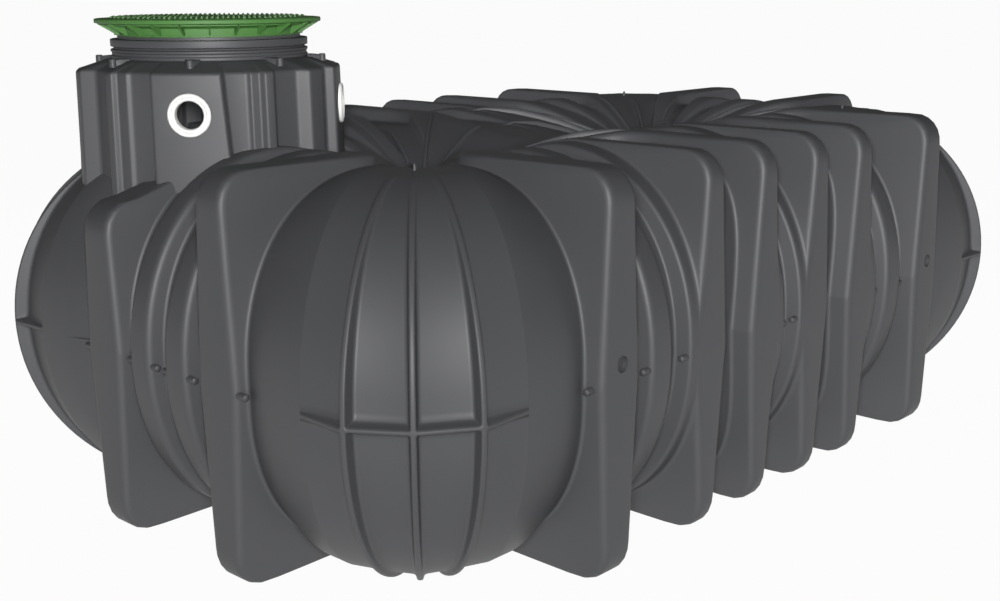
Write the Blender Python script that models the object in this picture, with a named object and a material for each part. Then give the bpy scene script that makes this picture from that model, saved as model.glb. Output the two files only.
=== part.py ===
# Flat underground water tank with a fluted access shaft and a green walk-over cover
# Metres, +Z up, long side along X. The origin is the middle of the floor the tank stands on.
import math

import bmesh
import bpy
import numpy as np

# Whole tank
LENGTH = 3.60
WIDTH = 2.25
HEIGHT = 1.25
WALL = 0.010
GAP = 0.0003
TRIM = 0.0016
SEAM_Z = HEIGHT / 2

# Columns that tie the roof to the floor, each as far from the sides as from its end
COLUMN_PITCH = LENGTH - WIDTH
COLUMN_R = 0.075
COLUMN_U = COLUMN_PITCH / 2

# How far parts of the roof lie below the tops of the plates
COLUMN_DROP = 0.200
SADDLE_DROP = 0.080
ROOF_DROP = 0.035
RING_DROP = 0.010
VALLEY_DROP = 0.054
DEEP_DROP = 0.050
SIDE_DROP = 0.038
CORNER_DROP = 0.022
LOW_PLATE_DROP = 0.150
COLUMN_TOP_Z = HEIGHT - COLUMN_DROP
SADDLE_Z = HEIGHT - SADDLE_DROP
ROOF_Z = HEIGHT - ROOF_DROP
CORNER_CREST_Z = HEIGHT - CORNER_DROP
LOW_PLATE_Z = HEIGHT - LOW_PLATE_DROP

# Square plates that stiffen the walls, placed by their distance from the middle of the side;
# the two next to a corner keep one distance from it
CORNER_PLATE = 0.820
SIDE_PLATES = (0.166, 0.482, LENGTH / 2 - CORNER_PLATE)
END_PLATE = WIDTH / 2 - CORNER_PLATE
PLATE_SEAM = {"inner": 0.163, "corner": 0.173}
PLATE_TOP = {"inner": 0.072, "corner": 0.114}
PLATE_OUT = 0.020
PLATE_DRAFT = 0.008
PLATE_ROUND = 0.10
PLATE_EDGE = 0.014

# Round corrugations between the plates; a shoulder is one that leans on a plate
SIDE_RING = SIDE_PLATES[2] - 0.230
END_RING = END_PLATE - 0.210
SHOULDERS = (0.021, 0.029)
RING_SEAM = 0.100
RING_TOP = 0.092
RING_EDGE = 0.012
FLANK = 0.010
CREST_IN = 0.565

# Wall outlines between the plates: how far inside the plates, crest height, squareness
FORMS = {"ring": (0.0, HEIGHT - RING_DROP, 2.15), "valley": (0.060, HEIGHT - VALLEY_DROP, 2.15),
         "deep": (0.085, HEIGHT - DEEP_DROP, 4.2), "side": (0.050, HEIGHT - SIDE_DROP, 2.25)}

# Rounded corners with their three upright ribs
CORNER_IN = 0.500
CORNER_POWER = 2.05
CORNER_RIB_ANGLES = (-19.5, 0.0, 19.5)
CORNER_GORE = 38.0
CORNER_SWEEP = 56.0
CORNER_BULGE = 0.014
RIB_HIGH = 0.046
RIB_WIDE = 0.016
RIB_FOOT = 0.013
RIB_POLE = 0.034
RIB_POLE_HIGH = 0.003
RIB_POLE_LOW = 0.019
GORE_POLE = 0.125

# Access shaft over one corner: flat panels for pipes, upright flutes between them, sloping shoulder
SHAFT_FROM_END = 0.615
SHAFT_FROM_SIDE = 0.620
SHAFT_U = LENGTH / 2 - SHAFT_FROM_END
SHAFT_V = WIDTH / 2 - SHAFT_FROM_SIDE
SHAFT_FOOT_Z = HEIGHT - 0.320
SHAFT_SHOULDER_Z = HEIGHT + 0.212
SHAFT_BROW_Z = SHAFT_SHOULDER_Z + 0.015
SHAFT_TOP_Z = SHAFT_SHOULDER_Z + 0.050
SHAFT_DRAFT = 1.02
SHAFT_BROW = 0.965
PANEL_DIST = 0.435
PANEL_HALF = 15.2
FLUTE_LOW, FLUTE_RIB, FLUTE_HIGH = 0.417, 0.444, 0.456

# Outline between two panels: angle from the first panel's middle in degrees, and radius
FLUTES = ((17.2, FLUTE_LOW), (25.0, FLUTE_LOW), (26.6, FLUTE_RIB), (28.2, FLUTE_RIB), (30.0, FLUTE_LOW + 0.005),
          (31.8, FLUTE_RIB + 0.004), (37.0, FLUTE_RIB + 0.004), (39.5, FLUTE_LOW), (46.5, FLUTE_LOW),
          (48.8, FLUTE_HIGH), (59.4, FLUTE_HIGH), (61.4, FLUTE_LOW + 0.006), (63.0, FLUTE_RIB),
          (64.6, FLUTE_RIB), (66.4, FLUTE_LOW), (72.8, FLUTE_LOW))

# Pipe seals in the flat panels of the shaft
SEAL_Z = SHAFT_SHOULDER_Z - 0.112
SEAL_BORE = 0.045
SEAL_HOLE = SEAL_BORE + 0.008
SEAL_R = SEAL_HOLE + 0.021
SEAL_OUT = 0.012

# Neck of the shaft, with lugs standing round it on the shoulder
NECK_R = 0.332
NECK_WALL = 0.037
NECK_STEP = 0.012
NECK_HIGH = 0.065
LUGS = 8
LUG_IN = NECK_R + 0.002
LUG_LONG = 0.062
LUG_HIGH = 0.008
LUG_REST = 0.0016
SHOULDER_R = LUG_IN + 0.009

# Way in through the neck and the roof below it
SHAFT_BORE = NECK_R - NECK_WALL
MANHOLE_R = SHAFT_BORE + 0.075

# Green cover
COVER_LIP = 0.048
COVER_RISE = 0.053
COVER_R = NECK_R + COVER_LIP
COVER_FOOT_R = SHAFT_BORE - 0.005
COVER_RIM_Z = SHAFT_TOP_Z + NECK_HIGH + COVER_RISE
COVER_RIM_HIGH = 0.014
LID_R = COVER_R - 0.023
LID_STAND = 0.010
LID_Z = COVER_RIM_Z + COVER_RIM_HIGH + LID_STAND

COLLECTION = "underground_water_tank"


def clear_scene():
    for old in list(bpy.data.objects):
        bpy.data.objects.remove(old, do_unlink=True)


def make_collection(name):
    found = bpy.data.collections.new(name)
    bpy.context.scene.collection.children.link(found)
    return found


def make_material(name, colour, rough, metal=0.0):
    mat = bpy.data.materials.new(name)
    mat.use_nodes = True
    shader = mat.node_tree.nodes["Principled BSDF"]
    shader.inputs["Base Color"].default_value = (*colour, 1.0)
    shader.inputs["Roughness"].default_value = rough
    shader.inputs["Metallic"].default_value = metal
    return mat


def add_object(name, bm, mat):
    bmesh.ops.recalc_face_normals(bm, faces=bm.faces)
    mesh = bpy.data.meshes.new(name)
    bm.to_mesh(mesh)
    bm.free()
    mesh.materials.append(mat)
    obj = bpy.data.objects.new(name, mesh)
    PARTS.objects.link(obj)
    return obj


def add_cutter(name, bm):
    bmesh.ops.recalc_face_normals(bm, faces=bm.faces)
    mesh = bpy.data.meshes.new(name)
    bm.to_mesh(mesh)
    bm.free()
    obj = bpy.data.objects.new(name, mesh)
    obj.hide_render = True
    obj.display_type = "WIRE"
    CUTTERS.objects.link(obj)
    return obj


def cut(obj, cutter):
    mod = obj.modifiers.new("cut_" + cutter.name, "BOOLEAN")
    mod.operation = "DIFFERENCE"
    mod.solver = "EXACT"
    mod.object = cutter


# The half shell is drawn for one quarter: u runs from the middle to an end, v to a long side.
# A section stands upright on the wall, climbs it, crosses the roof and ends on the middle line
# or on a column. Its offset is measured from the middle of the plate, ring or rib it belongs to.

def station(kind, mid, off, form, group="none", edge=0.0, close=1.0, out=0.0):
    return {"kind": kind, "mid": mid, "off": off, "form": form, "group": group, "edge": edge, "close": close, "out": out}


def plate(kind, mid, size, low_side, high_side, form="plate", out=0.0):
    """Four sections over a plate: its two feet and its two outer edges."""
    half, close = PLATE_SEAM[size] / 2, PLATE_TOP[size] / PLATE_SEAM[size]
    return [station(kind, mid, -half - FLANK, low_side, "plate", 0.0, close),
            station(kind, mid, -half, form, "plate", PLATE_EDGE, close, out),
            station(kind, mid, half, form, "plate", PLATE_EDGE, close, out),
            station(kind, mid, half + FLANK, high_side, "plate", 0.0, close)]


def ring(kind, mid):
    half, close = RING_SEAM / 2, RING_TOP / RING_SEAM
    rows = ((-half - FLANK, "valley", 0.0), (-half, "ring", RING_EDGE), (half, "ring", RING_EDGE), (half + FLANK, "valley", 0.0))
    return [station(kind, mid, off, form, "ring", edge, close) for off, form, edge in rows]


def shoulder(foot, wide, away):
    """The free side of a ring that leans on a plate's foot; away is the direction of the valley."""
    close = RING_TOP / RING_SEAM
    return [station("side", foot, away * wide, "ring", "ring", RING_EDGE, close),
            station("side", foot, away * (wide + FLANK), "valley", "ring", 0.0, close)]


def quarter_stations(low_plate, pole):
    inner, second, outer = SIDE_PLATES
    rows = [station("side", 0.0, 0.0, "valley")]
    reach = PLATE_SEAM["inner"] / 2 + FLANK
    rows += shoulder(inner - reach, SHOULDERS[0], -1)[::-1]
    rows += plate("side", inner, "inner", "ring", "deep")
    rows += [station("side", (inner + second) / 2, 0.0, "deep")]
    rows += plate("side", second, "inner", "deep", "ring")
    rows += shoulder(second + reach, SHOULDERS[1], 1)
    rows += ring("side", SIDE_RING)
    rows += plate("side", outer, "corner", "valley", "side", "plate", PLATE_OUT)
    rows += corner_stations(pole)
    high_side, form = ("valley", "low") if low_plate else ("side", "plate")
    rows += plate("end", END_PLATE, "corner", "valley", high_side, form)[::-1]
    rows += ring("end", END_RING)[::-1]
    rows += [station("end", 0.0, 0.0, "valley")]
    return rows


def corner_stations(pole):
    """Sections round one corner: flat gores with three upright ribs, this high at the pole."""
    rows = [station("corner", -CORNER_SWEEP, 0.0, "gore"), station("corner", -CORNER_GORE, 0.0, "gore")]
    for mid in CORNER_RIB_ANGLES:
        for off, form in ((-RIB_FOOT, "gore"), (-RIB_WIDE / 2, "rib"), (RIB_WIDE / 2, "rib"), (RIB_FOOT, "gore")):
            rows.append(station("corner", mid, off, form, "rib", out=pole))
    rows += [station("corner", CORNER_GORE, 0.0, "gore"), station("corner", CORNER_SWEEP, 0.0, "gore")]
    return rows


# Heights of the rows up the wall as shares of the rise, then shares of the way in to the column
WALL_ROWS = (0.0, 0.013, 0.03, 0.40, 0.70, 0.84, 0.945, 0.99, 1.0)
SEAM_LIFT = (1.0, 1.0, 0.12)
ROOF_ROWS = (0.34, 0.68, 1.0)
ROOF_FADE = (0.55, 0.12, 0.0)
ROWS = len(WALL_ROWS) + len(ROOF_ROWS) + 1


def round_rise(reach, rise, power, share):
    """A point of a superellipse quarter at a share of its height: how far out and how far up."""
    return reach * max(1.0 - share ** power, 0.0) ** (1.0 / power), rise * share


def square_rise(reach, rise, row, inset):
    """A point of the plate outline: upright wall, rounded corner, level top."""
    r = PLATE_ROUND - inset
    up = rise - r
    lean = PLATE_DRAFT
    rows = ((reach, 0.0), (reach, up * 0.016), (reach, up * 0.036), (reach - lean / 2, up / 2),
            (reach - lean * 0.8, up * 0.84), (reach - lean, up),
            (reach - lean - r * 0.22, rise - r * 0.37), (reach - lean - r, rise), (0.0, rise))
    return rows[row]


def low_rise(reach, row, inset):
    """The low plate: a short upright wall and a level top that runs back into the body."""
    r = PLATE_ROUND - inset
    rise = LOW_PLATE_Z - SEAM_Z - inset
    near = reach - PLATE_DRAFT
    rows = ((reach, 0.0), (reach, rise * 0.016), (reach, rise * 0.036), (near, rise - r),
            (near - r * 0.6, rise - 0.01), (reach * 0.58, rise + 0.003))
    if row < len(rows):
        return rows[row]
    by, crest, power = FORMS["valley"]
    d, z = round_rise(reach - by, crest - SEAM_Z - inset, power, WALL_ROWS[row])
    return d, z + 0.005


def closed_in(st, row, inset):
    """The section's offset at this row, closed in by the draft and by the wall thickness."""
    if st["group"] == "rib" or not st["off"]:
        return 0.0
    size = abs(st["off"]) * (1.0 + (st["close"] - 1.0) * WALL_ROWS[row]) - inset
    return math.copysign(max(size, 0.0), st["off"])


def inner_place(st, inset):
    """Plan place and height where a section ends, and whether that is on a column."""
    radius = COLUMN_R + inset
    plate_end = PLATE_SEAM["corner"] / 2 + FLANK
    if st["kind"] == "side":
        edge = SIDE_PLATES[0] + PLATE_SEAM["inner"] / 2 + FLANK
        a = st["mid"] + st["off"]
        if a <= edge + 1e-6:
            share = min(a / edge, 1.0)
            ease = share * share * (3 - 2 * share)
            z = SADDLE_Z + (COLUMN_TOP_Z - SADDLE_Z) * ease
            return ((COLUMN_U - radius) * share, 0.0), z - inset, share > 0.999
        far = SIDE_PLATES[2] + plate_end
        beta = float(np.interp(a, (edge, SIDE_PLATES[1], far), (0.0, 66.0, 124.0)))
    elif st["kind"] == "corner":
        beta = 135.0 + st["mid"] * 9.0 / CORNER_SWEEP
    else:
        beta = 180.0 - (st["mid"] + st["off"]) * 34.0 / (END_PLATE + plate_end)
    b = math.radians(beta)
    return (COLUMN_U - radius * math.cos(b), radius * math.sin(b)), COLUMN_TOP_Z - inset, True


def corner_wall(st, inset):
    """The rows of a corner section from the seam to the pole, and the rib's sideways step."""
    mid = np.array((LENGTH / 2, WIDTH / 2)) - CORNER_IN
    ang = math.radians(45.0 - st["mid"])
    way = np.array((math.cos(ang), math.sin(ang)))
    side = np.array((way[1], -way[0])) * st["off"]
    key = (0.0, abs(CORNER_RIB_ANGLES[0]), CORNER_GORE, CORNER_SWEEP)
    lat = float(np.interp(abs(st["mid"]), key, (0.0, RIB_POLE, GORE_POLE, GORE_POLE * 1.2)))
    lat = math.copysign(lat, st["mid"])
    pole = mid + np.array((lat, -lat)) / math.sqrt(2) - 0.045 * abs(st["mid"]) / CORNER_SWEEP
    bulge = CORNER_BULGE * math.cos(math.radians(min(abs(st["mid"]) * 90.0 / CORNER_GORE, 90.0)))
    wall = mid + (CORNER_IN + bulge - inset) * way
    rib = st["form"] == "rib" and inset <= 0.0
    on_seam = st["group"] == "rib" and inset <= 0.0
    out = []
    for row, share in enumerate(WALL_ROWS):
        f, z = round_rise(1.0, CORNER_CREST_Z - SEAM_Z - inset, CORNER_POWER, share)
        tilt = share * share
        lift = RIB_HIGH * (1.0 - tilt) if rib else 0.0
        if on_seam and not rib and row < len(SEAM_LIFT):
            lift = RIB_HIGH * SEAM_LIFT[row]
        plan = pole + (wall - pole) * f + way * lift + side
        out.append((plan[0], plan[1], SEAM_Z + z + st["out"] * rib * tilt))
    return out, side


def flat_wall(st, inset):
    """The rows of a section on a long side or an end, from the seam to the crest."""
    base = (WIDTH / 2 if st["kind"] == "side" else LENGTH / 2) - CREST_IN
    reach = CREST_IN - inset + st["out"]
    out = []
    for row, share in enumerate(WALL_ROWS):
        if st["form"] == "plate":
            d, z = square_rise(reach, HEIGHT - SEAM_Z - inset, row, inset)
        elif st["form"] == "low":
            d, z = low_rise(reach, row, inset)
        else:
            by, crest, power = FORMS[st["form"]]
            d, z = round_rise(reach - by, crest - SEAM_Z - inset, power, share)
        along = st["mid"] + closed_in(st, row, inset)
        out.append((along, base + d, SEAM_Z + z) if st["kind"] == "side" else (base + d, along, SEAM_Z + z))
    return out


def section(st, inset=0.0):
    """The points of one section from the seam over the roof to its inner end."""
    (iu, iv), inner_z, on_column = inner_place(st, inset)
    side, holds = (0.0, 0.0), (1.0, 1.0, 1.0)
    if st["kind"] == "corner":
        out, side = corner_wall(st, inset)
        holds = (0.0, 0.0, 0.0)
    else:
        out = flat_wall(st, inset)
    cu, cv, cz = out[-1]
    cu, cv = cu - side[0], cv - side[1]
    flat = ROOF_Z - inset
    for share, fade, hold in zip(ROOF_ROWS, ROOF_FADE, holds):
        pu = cu + (iu - cu) * share + side[0] * hold
        pv = cv + (iv - cv) * share + side[1] * hold
        z = inner_z + (flat - inner_z) * math.cos(math.radians(90 * share))
        keep = hold if st["group"] == "rib" else 1.0
        lift = (cz - flat) * fade * keep if inset <= 0.0 else min(cz - flat, 0.0) * fade
        out.append((pu, pv, z + lift))
    if on_column:
        out.append((iu, iv, SEAM_Z))
    return out


def rounded(cols, edges):
    """Splits each outer edge in two, so that it becomes a narrow bevel; returns groups of columns."""
    groups = []
    for n, col in enumerate(cols):
        if not edges[n]:
            groups.append([col])
            continue
        low, high = [], []
        for j, p in enumerate(col):
            p = np.array(p)
            ends = []
            for other in (cols[n - 1], cols[n + 1]):
                way = np.array(other[j]) - p if j < len(other) else np.zeros(3)
                size = np.linalg.norm(way)
                ends.append(p + way / size * min(edges[n], size * 0.45) if size > 1e-9 else p)
            low.append(tuple(ends[0]))
            high.append(tuple(ends[1]))
        groups.append([low, high])
    return groups


def sheet(inset, full):
    """All four quarters as one welded sheet: points, faces and the point columns by section."""
    points, faces, lookup, quarters = [], [], {}, []
    for su, sv in ((-1, -1), (-1, 1), (1, 1), (1, -1)):
        rows = quarter_stations(full and (su, sv) == (-1, 1), RIB_POLE_HIGH if full else RIB_POLE_LOW)
        if inset > 0.0:
            rows = [(n, st) for n, st in enumerate(rows) if st["group"] != "rib" or st["off"] == -RIB_FOOT]
        else:
            rows = list(enumerate(rows))
        cols = [section(st, inset) for _, st in rows]
        edges = [st["edge"] if inset <= 0.0 else 0.0 for _, st in rows]
        groups = []
        for (n, _), group in zip(rows, rounded(cols, edges)):
            lines = []
            for col in group:
                line = []
                for p in col:
                    tag = (round(su * p[0], 5), round(sv * p[1], 5), round(p[2], 5))
                    if tag not in lookup:
                        lookup[tag] = len(points)
                        points.append((su * p[0], sv * p[1], p[2]))
                    line.append(lookup[tag])
                lines.append(line)
            groups.append((n, lines))
        turn = su * sv > 0
        flat = [line for _, lines in groups for line in lines]
        for a, b in zip(flat, flat[1:]):
            for j in range(min(len(a), len(b)) - 1):
                add_loop(faces, [a[j], b[j], b[j + 1], a[j + 1]], turn)
        quarters.append((groups, turn))
    return points, faces, quarters


def add_loop(faces, loop, turn):
    """Adds a face; a four-sided one is split the same way everywhere, so that offsets stay true."""
    parts = [loop[:3], [loop[0]] + loop[2:]] if len(loop) == 4 else [loop]
    for part in parts:
        part = [q for i, q in enumerate(part) if q != part[i - 1]]
        if len(set(part)) > 2:
            faces.append(part[::-1] if turn else part)


def join_edges(outer_quarters, inner_quarters, shift):
    """Flat faces between the outer and the inner sheet along the seam and round the columns."""
    faces = []
    for (outer, turn), (inner, _) in zip(outer_quarters, inner_quarters):
        flat = [(n, line) for n, lines in outer for line in lines]
        for (na, (a,)), (nb, (b,)) in zip(inner, inner[1:]):
            first = min(i for i, (n, _) in enumerate(flat) if n == na)
            last = min(i for i, (n, _) in enumerate(flat) if n == nb)
            span = [line for _, line in flat[first:last + 1]]
            add_loop(faces, [a[0] + shift, b[0] + shift] + [line[0] for line in span[::-1]], turn)
            if len(a) == len(b) == ROWS:
                add_loop(faces, [b[-1] + shift, a[-1] + shift] + [line[-1] for line in span], turn)
    return faces


def shell_object(name, mat, flip):
    outer, faces, outer_rows = sheet(0.0, not flip)
    inner, back, inner_rows = sheet(WALL, not flip)
    shift = len(outer)
    bm = bmesh.new()
    for p in outer + inner:
        z = max(p[2], SEAM_Z + GAP / 2)
        bm.verts.new((p[0], p[1], HEIGHT - z if flip else z))
    bm.verts.ensure_lookup_table()
    loops = faces + [[k + shift for k in f[::-1]] for f in back] + join_edges(outer_rows, inner_rows, shift)
    for loop in loops:
        bm.faces.new([bm.verts[k] for k in loop])
    bmesh.ops.triangulate(bm, faces=bm.faces)
    return add_object(name, bm, mat)


def body_volume(name):
    """The filled upper half, a hair larger all round, that trims the foot of the shaft."""
    points, faces, rows = sheet(0.0, True)
    bm = bmesh.new()
    for p in points:
        bm.verts.new(p)
    bm.verts.ensure_lookup_table()
    for f in faces:
        bm.faces.new([bm.verts[k] for k in f])
    bmesh.ops.recalc_face_normals(bm, faces=bm.faces)
    bm.normal_update()
    up = 1.0 if sum(f.normal.z * f.calc_area() for f in bm.faces) > 0.0 else -1.0
    for v in bm.verts:
        v.co += v.normal * up * TRIM
    rim = [e for e in bm.edges if len(e.link_faces) == 1]
    made = bmesh.ops.extrude_edge_only(bm, edges=rim)["geom"]
    for v in made:
        if isinstance(v, bmesh.types.BMVert):
            v.co.z -= 0.2
    bmesh.ops.triangle_fill(bm, edges=[e for e in bm.edges if len(e.link_faces) == 1], use_beauty=True)
    bmesh.ops.triangulate(bm, faces=bm.faces)
    return add_cutter(name, bm)


def ring_mesh(profile, steps, centre, wave=None):
    """A closed ring from a closed outline of (radius, height) pairs; wave bends the radius."""
    bm = bmesh.new()
    loops = []
    for i in range(steps):
        a = 2 * math.pi * i / steps
        loop = []
        for r, z in profile:
            rr = wave(a, r, z) if wave else r
            loop.append(bm.verts.new((centre[0] + rr * math.cos(a), centre[1] + rr * math.sin(a), z)))
        loops.append(loop)
    count = len(profile)
    for i in range(steps):
        a, b = loops[i], loops[(i + 1) % steps]
        for j in range(count):
            k = (j + 1) % count
            bm.faces.new([a[j], b[j], b[k], a[k]])
    return bm


def cylinder_mesh(place, axis, radius, length, steps):
    """A closed cylinder that starts at place and runs along axis."""
    bm = bmesh.new()
    axis = np.array(axis, float) / np.linalg.norm(axis)
    side = np.cross(axis, (0.0, 0.0, 1.0))
    if np.linalg.norm(side) < 1e-6:
        side = np.array((1.0, 0.0, 0.0))
    side /= np.linalg.norm(side)
    up = np.cross(side, axis)
    rims = []
    for far in (0.0, length):
        rim = []
        for i in range(steps):
            a = 2 * math.pi * i / steps
            p = np.array(place) + axis * far + radius * (math.cos(a) * side + math.sin(a) * up)
            rim.append(bm.verts.new(p))
        rims.append(rim)
    for i in range(steps):
        j = (i + 1) % steps
        bm.faces.new([rims[0][i], rims[0][j], rims[1][j], rims[1][i]])
    bm.faces.new(rims[0][::-1])
    bm.faces.new(rims[1])
    return bm


SHAFT_C = (-SHAFT_U, SHAFT_V)
PANEL_ANGLES = (45.0, 135.0, 225.0, 315.0)


def shaft_outline():
    """Angles and radii all round the shaft; every second quarter is the mirror of the one before."""
    corner = PANEL_DIST / math.cos(math.radians(PANEL_HALF))
    out = []
    for k, base in enumerate(PANEL_ANGLES):
        quarter = FLUTES if k % 2 == 0 else [(90.0 - deg, r) for deg, r in reversed(FLUTES)]
        quarter = [(PANEL_HALF, corner), *quarter, (90.0 - PANEL_HALF, corner)]
        out += [(math.radians(base + deg), r) for deg, r in quarter]
    return out


def shaft_loop(bm, z, scale, inset=0.0, circle=0.0):
    """One level of the shaft: the outline scaled and drawn in, or a circle."""
    loop = []
    for a, r in shaft_outline():
        size = circle or r * scale - inset
        loop.append(bm.verts.new((SHAFT_C[0] + size * math.cos(a), SHAFT_C[1] + size * math.sin(a), z)))
    return loop


def build_shaft(mat, volume):
    bm = bmesh.new()
    loops = [shaft_loop(bm, SHAFT_FOOT_Z, SHAFT_DRAFT), shaft_loop(bm, SHAFT_SHOULDER_Z, 1.0),
             shaft_loop(bm, SHAFT_BROW_Z, SHAFT_BROW), shaft_loop(bm, SHAFT_TOP_Z, 0, 0, SHOULDER_R),
             shaft_loop(bm, SHAFT_TOP_Z, 0, 0, SHAFT_BORE), shaft_loop(bm, SHAFT_TOP_Z - WALL, 0, 0, SHAFT_BORE),
             shaft_loop(bm, SHAFT_TOP_Z - WALL, 0, 0, SHOULDER_R - WALL * 0.3),
             shaft_loop(bm, SHAFT_BROW_Z - WALL * 1.2, SHAFT_BROW, WALL * 0.7),
             shaft_loop(bm, SHAFT_SHOULDER_Z - WALL * 0.6, 1.0, WALL), shaft_loop(bm, SHAFT_FOOT_Z, SHAFT_DRAFT, WALL)]
    for a, b in zip(loops, loops[1:] + loops[:1]):
        for j in range(len(a)):
            k = (j + 1) % len(a)
            bm.faces.new([a[j], a[k], b[k], b[j]])
    bmesh.ops.triangulate(bm, faces=bm.faces)
    shaft = add_object("access_shaft", bm, mat)
    cut(shaft, volume)
    for i, deg in enumerate(PANEL_ANGLES):
        a = math.radians(deg)
        way = (math.cos(a), math.sin(a), 0.0)
        near = PANEL_DIST - SEAL_R
        start = (SHAFT_C[0] + way[0] * near, SHAFT_C[1] + way[1] * near, SEAL_Z)
        cut(shaft, add_cutter("seal_hole_%d" % (i + 1), cylinder_mesh(start, way, SEAL_HOLE, SEAL_R * 2, 20)))
    return shaft


def build_seal(index, deg, mat):
    """A lipped ring that sits in a panel's hole and shows a flange outside."""
    a = math.radians(deg)
    way = np.array((math.cos(a), math.sin(a), 0.0))
    side = np.array((-math.sin(a), math.cos(a), 0.0))
    up = np.array((0.0, 0.0, 1.0))
    scale = 1.0 + (SHAFT_DRAFT - 1.0) * (SHAFT_SHOULDER_Z - SEAL_Z) / (SHAFT_SHOULDER_Z - SHAFT_FOOT_Z)
    face = PANEL_DIST * scale + 0.0016
    hub = np.array((SHAFT_C[0], SHAFT_C[1], SEAL_Z)) + way * face
    profile = [(SEAL_BORE, -0.030), (SEAL_HOLE - GAP, -0.030), (SEAL_HOLE - GAP, 0.0), (SEAL_R, 0.0),
               (SEAL_R, SEAL_OUT * 0.6), (SEAL_R - 0.004, SEAL_OUT), (SEAL_BORE + 0.004, SEAL_OUT),
               (SEAL_BORE, SEAL_OUT * 0.6)]
    bm = bmesh.new()
    steps = 20
    loops = []
    for i in range(steps):
        t = 2 * math.pi * i / steps
        loops.append([bm.verts.new(hub + way * x + r * (math.cos(t) * side + math.sin(t) * up)) for r, x in profile])
    for i in range(steps):
        p, q = loops[i], loops[(i + 1) % steps]
        for j in range(len(profile)):
            k = (j + 1) % len(profile)
            bm.faces.new([p[j], q[j], q[k], p[k]])
    return add_object("pipe_seal_%d" % index, bm, mat)


def build_neck(mat):
    z0 = SHAFT_TOP_Z + GAP
    z1 = z0 + NECK_HIGH / 2
    z2 = z0 + NECK_HIGH
    profile = [(SHAFT_BORE, z0), (NECK_R, z0), (NECK_R, z1 - 0.004), (NECK_R - 0.004, z1),
               (NECK_R - NECK_STEP, z1), (NECK_R - NECK_STEP, z1 + 0.006), (NECK_R, z1 + 0.012),
               (NECK_R, z2 - 0.006), (NECK_R - 0.006, z2), (SHAFT_BORE, z2)]
    return add_object("neck_ring", ring_mesh(profile, 48, SHAFT_C), mat)


def shoulder_height(r, panel):
    """Height a lug needs at a radius to lie on the sloping shoulder, over a panel or between two."""
    turn = math.cos(math.radians(PANEL_HALF)) if panel else 1.0
    inner, outer = SHOULDER_R * turn, (PANEL_DIST if panel else FLUTE_HIGH) * SHAFT_BROW
    share = (r - inner) / (outer - inner)
    rest = 0.0 if panel or r <= SHOULDER_R else LUG_REST
    return SHAFT_TOP_Z + (SHAFT_BROW_Z - SHAFT_TOP_Z) * max(share, 0.0) + GAP + rest


def build_lugs(mat):
    """Level lugs round the neck, each with a rounded nose over the sloping shoulder."""
    top = SHAFT_TOP_Z + LUG_HIGH
    for i in range(LUGS):
        a = 2 * math.pi * i / LUGS
        way = np.array((math.cos(a), math.sin(a)))
        side = np.array((-math.sin(a), math.cos(a)))
        bm = bmesh.new()
        loops = []
        for r, wide, high in ((LUG_IN, 0.022, top), (SHOULDER_R, 0.024, top), (LUG_IN + LUG_LONG * 0.8, 0.028, top),
                              (LUG_IN + LUG_LONG, 0.012, top - 0.004)):
            low = shoulder_height(r, i % 2 == 1)
            loop = []
            for s, z in ((-wide, low), (wide, low), (wide * 0.9, high), (-wide * 0.9, high)):
                loop.append(bm.verts.new((SHAFT_C[0] + way[0] * r + side[0] * s, SHAFT_C[1] + way[1] * r + side[1] * s, z)))
            loops.append(loop)
        for p, q in zip(loops, loops[1:]):
            for j in range(4):
                k = (j + 1) % 4
                bm.faces.new([p[j], q[j], q[k], p[k]])
        bm.faces.new(loops[0])
        bm.faces.new(loops[-1][::-1])
        add_object("neck_lug_%d" % (i + 1), bm, mat)


def build_cover(mat):
    """The green frame, an upturned cone that stands in the neck, and the lid it carries."""
    foot = SHAFT_TOP_Z + GAP + NECK_HIGH + GAP
    z1 = COVER_RIM_Z
    ledge = z1 - 0.008
    profile = [(COVER_FOOT_R - 0.012, foot), (COVER_FOOT_R + 0.017, foot), (COVER_FOOT_R + 0.020, foot + 0.006),
               (COVER_R - 0.010, z1 - 0.004), (COVER_R, z1), (COVER_R, z1 + COVER_RIM_HIGH - 0.004),
               (COVER_R - 0.006, z1 + COVER_RIM_HIGH), (LID_R + GAP, z1 + COVER_RIM_HIGH), (LID_R + GAP, ledge),
               (LID_R - 0.02, ledge), (COVER_FOOT_R - 0.004, foot + 0.012)]
    add_object("cover_frame", ring_mesh(profile, 48, SHAFT_C), mat)
    low = ledge + GAP
    bm = cylinder_mesh((SHAFT_C[0], SHAFT_C[1], low), (0, 0, 1), LID_R, LID_Z - low, 48)
    add_object("cover_lid", bm, mat)


def build_tank():
    plastic = make_material("tank_plastic", (0.030, 0.031, 0.033), 0.45)
    cover = make_material("cover_green", (0.14, 0.40, 0.10), 0.5)
    seal = make_material("seal_white", (0.80, 0.80, 0.78), 0.5)
    upper = shell_object("upper_shell", plastic, False)
    shell_object("lower_shell", plastic, True)
    start = (SHAFT_C[0], SHAFT_C[1], SEAM_Z + 0.2)
    cut(upper, add_cutter("manhole_bore", cylinder_mesh(start, (0, 0, 1), MANHOLE_R, 1.0, 40)))
    build_shaft(plastic, body_volume("body_volume"))
    for i, deg in enumerate(PANEL_ANGLES):
        build_seal(i + 1, deg, seal)
    build_neck(plastic)
    build_lugs(plastic)
    build_cover(cover)


clear_scene()
PARTS = make_collection(COLLECTION)
CUTTERS = make_collection("cutters")
build_tank()
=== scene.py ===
import math

import bmesh
import bpy
import numpy as np
from mathutils import Matrix, Vector
from mathutils.bvhtree import BVHTree


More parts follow.
